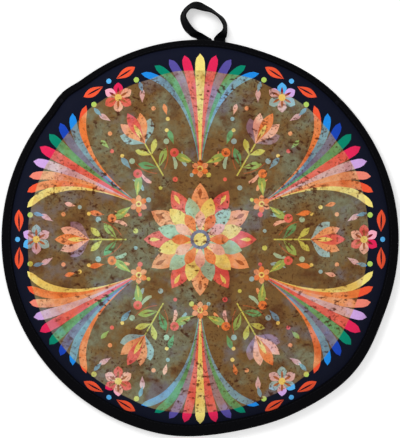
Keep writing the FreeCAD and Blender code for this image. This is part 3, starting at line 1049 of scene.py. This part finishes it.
# The hanging loop: right of its left end, out from the hinge line, direction across, lean
LOOP_COURSE = (
    (0, 0, 0, 0), (-4.1, 2.1, 14, 8), (-7.6, 3.9, 14, 38), (-11, 6.8, 17, 46),
    (-13.5, 10.4, 21, 52), (-15.2, 14.3, 17, 59), (-15.5, 17.4, 0, 64),
    (-14, 20.6, -25, 66), (-11, 23.8, -62, 66), (-7.3, 25.2, -84, 52),
    (-3.3, 24.8, -96, 46), (1.1, 23, -106, 56), (5.7, 21.2, -114, 69),
    (10.1, 18.3, -136, 76), (13.7, 15.2, -144, 71), (16, 11.4, -157, 70),
    (16.6, 8.2, -176, 73), (16.2, 5.4, -184, 66), (14.4, 2.6, -186, 40),
    (12.4, 0, -180, 0))
LOOP_LAST = len(LOOP_COURSE) - 1
LOOP_LEFT, LOOP_HINGE = 2.6, 154.42  # where the left end leaves the binding
LOOP_SLANT = 38.0  # degrees from straight in, of the left end's sewn part
LOOP_DEPTH, LOOP_SEWN_STEPS = 7.0, 5  # how far in both ends are sewn
LOOP_STEPS = 5  # sections between two rows of the course
LOOP_ROOT_HEIGHT = TAPE + COVER + LOOP_THICKNESS / 2
LOOP_REST = 0.15 + LOOP_THICKNESS / 2  # the tape's middle when it lies on the table


def loop_row(place):
    """The course between its rows, on one smooth curve."""
    k = min(int(place), LOOP_LAST - 1)
    t = place - k
    near = (min(max(j, 0), LOOP_LAST) for j in (k - 1, k, k + 1, k + 2))
    a, b, c, d = (np.array(LOOP_COURSE[j]) for j in near)
    return 0.5 * (2 * b + (c - a) * t + (2 * a - 5 * b + 4 * c - d) * t ** 2
                  + (3 * b - a - 3 * c + d) * t ** 3)


def tape_profile(half_width, half_thickness):
    """A flat tape's section with round selvedges: (across, through)."""
    shape = [(-1.0, 0.0), (-0.97, -0.75), (-0.9, -1.0), (-0.45, -0.9), (0.0, -0.86), (0.45, -0.9),
             (0.9, -1.0), (0.97, -0.75), (1.0, 0.0), (0.97, 0.75), (0.9, 1.0), (0.45, 0.9), (0.0, 0.86),
             (-0.45, 0.9), (-0.9, 1.0), (-0.97, 0.75)]
    return [(a * half_width, t * half_thickness) for a, t in shape]


def loop_section(place):
    """The tape's section at a place of its course, and each point's distance across the tape."""
    right, out, turn, steep = loop_row(place)
    lean = math.radians(max(steep, 0.0))
    z = LOOP_REST + LOOP_WIDTH / 2 * math.sin(lean)
    sewn = max(1 - place, place - LOOP_LAST + 1, 0.0)
    z = max(z, LOOP_ROOT_HEIGHT * sewn + LOOP_REST * (1 - sewn))
    slant = math.radians(LOOP_SLANT * max(1 - place, 0.0))
    before, after = loop_row(max(place - 0.5, 0)), loop_row(min(place + 0.5, LOOP_LAST))
    along = Vector((after[0] - before[0], after[1] - before[1], 0))
    if place in (0, LOOP_LAST):
        along = Vector((0, 1 if place == 0 else -1, 0))
    plan, level = math.radians(turn), math.cos(lean)
    across = Vector((level * math.cos(plan), level * math.sin(plan), math.sin(lean)))
    through = along.cross(across).normalized()
    middle = Vector((LOOP_LEFT + right, LOOP_HINGE + out, z))
    half = LOOP_WIDTH / 2 / math.cos(slant)
    profile = tape_profile(half, LOOP_THICKNESS / 2)
    return [middle + across * a + through * t for a, t in profile], [a for a, _ in profile]


def section_middle(section):
    return sum(section, Vector()) / len(section)


def loop_form():
    sections, plans = [], []
    slope = math.tan(math.radians(LOOP_SLANT))
    first, across = loop_section(0)
    for k in range(LOOP_SEWN_STEPS):
        back = LOOP_DEPTH * (1 - k / LOOP_SEWN_STEPS)
        sections.append([p + Vector((back * slope, -back, 0)) for p in first])
    for place in np.linspace(0, LOOP_LAST, LOOP_LAST * LOOP_STEPS + 1):
        sections.append(loop_section(float(place))[0])
    final, _ = loop_section(LOOP_LAST)
    for k in range(1, LOOP_SEWN_STEPS + 1):
        sections.append([p + Vector((0, -LOOP_DEPTH * k / LOOP_SEWN_STEPS, 0)) for p in final])
    run = 0.0
    for j, section in enumerate(sections):
        if j:
            run += (section_middle(section) - section_middle(sections[j - 1])).length
        plans += [(run, a, 0.0) for a in across]
    points, faces = tube_form([[tuple(p) for p in s] for s in sections])
    return new_piece("hanging_loop_tape", points, faces, plans, TAPED)


loop = loop_form()
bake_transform(loop)
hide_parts("hanging_loop", "loop_ends")


# Floor, light and camera, in metres
FLOOR_REACH, FLOOR_DROP = 6.0, 0.0002
FLOOR_GLOW = 0.34  # lifts the floor to the photo's white, where it is seen
CAMERA_DISTANCE, VIEW_HALF_HEIGHT = 1.6, 0.16797
VIEW_MIDDLE, MIDDLE_HEIGHT = (-0.0001, 0.01555), 0.006


def plain_floor():
    mesh = bpy.data.meshes.new("floor")
    corners = [(x * FLOOR_REACH, y * FLOOR_REACH, 0) for x, y in ((-1, -1), (1, -1), (1, 1), (-1, 1))]
    mesh.from_pydata(corners, [], [(0, 1, 2, 3)])
    floor = bpy.data.objects.new("floor", mesh)
    bpy.context.collection.objects.link(floor)
    floor.location.z = -FLOOR_DROP
    n = Nodes("floor_white")
    for key, value in (("Base Color", (0.82, 0.82, 0.82, 1)), ("Roughness", 0.9),
                       ("Specular IOR Level", 0.1), ("Emission Color", (1, 1, 1, 1))):
        n.put(n.shader, key, value)
    path = n.node("ShaderNodeLightPath")
    seen = n.maths("MAXIMUM", path.outputs["Is Camera Ray"], path.outputs["Is Glossy Ray"])
    seen = n.maths("MAXIMUM", seen, path.outputs["Is Transmission Ray"])
    n.put(n.shader, "Emission Strength", n.maths("MULTIPLY", seen, FLOOR_GLOW))
    mesh.materials.append(n.material)


def soft_lights():
    world = bpy.data.worlds.new("studio")
    bpy.context.scene.world = world
    world.use_nodes = True
    sky = world.node_tree.nodes["Background"]
    sky.inputs["Color"].default_value = (1.0, 1.0, 1.0, 1)
    sky.inputs["Strength"].default_value = 0.55
    for name, place, size, power in (
        ("key", (-0.7, 0.8, 1.1), 0.7, 13.0),
        ("fill", (0.9, -0.6, 1.3), 1.2, 6.0),
    ):
        light = bpy.data.lights.new(name, "AREA")
        light.size = size
        light.energy = power
        lamp = bpy.data.objects.new(name, light)
        bpy.context.collection.objects.link(lamp)
        lamp.location = place
        lamp.rotation_mode = "QUATERNION"
        lamp.rotation_quaternion = (-Vector(place)).to_track_quat("-Z", "Y")


def overhead_camera():
    camera = bpy.data.cameras.new("camera")
    camera.sensor_width = 36.0
    camera.lens = camera.sensor_width / 2 * CAMERA_DISTANCE / VIEW_HALF_HEIGHT
    camera.clip_start, camera.clip_end = 0.05, 30.0
    holder = bpy.data.objects.new("camera", camera)
    bpy.context.collection.objects.link(holder)
    holder.location = (*VIEW_MIDDLE, MIDDLE_HEIGHT + CAMERA_DISTANCE)
    bpy.context.scene.camera = holder


plain_floor()
soft_lights()
overhead_camera()
bpy.context.scene.view_settings.view_transform = "Standard"
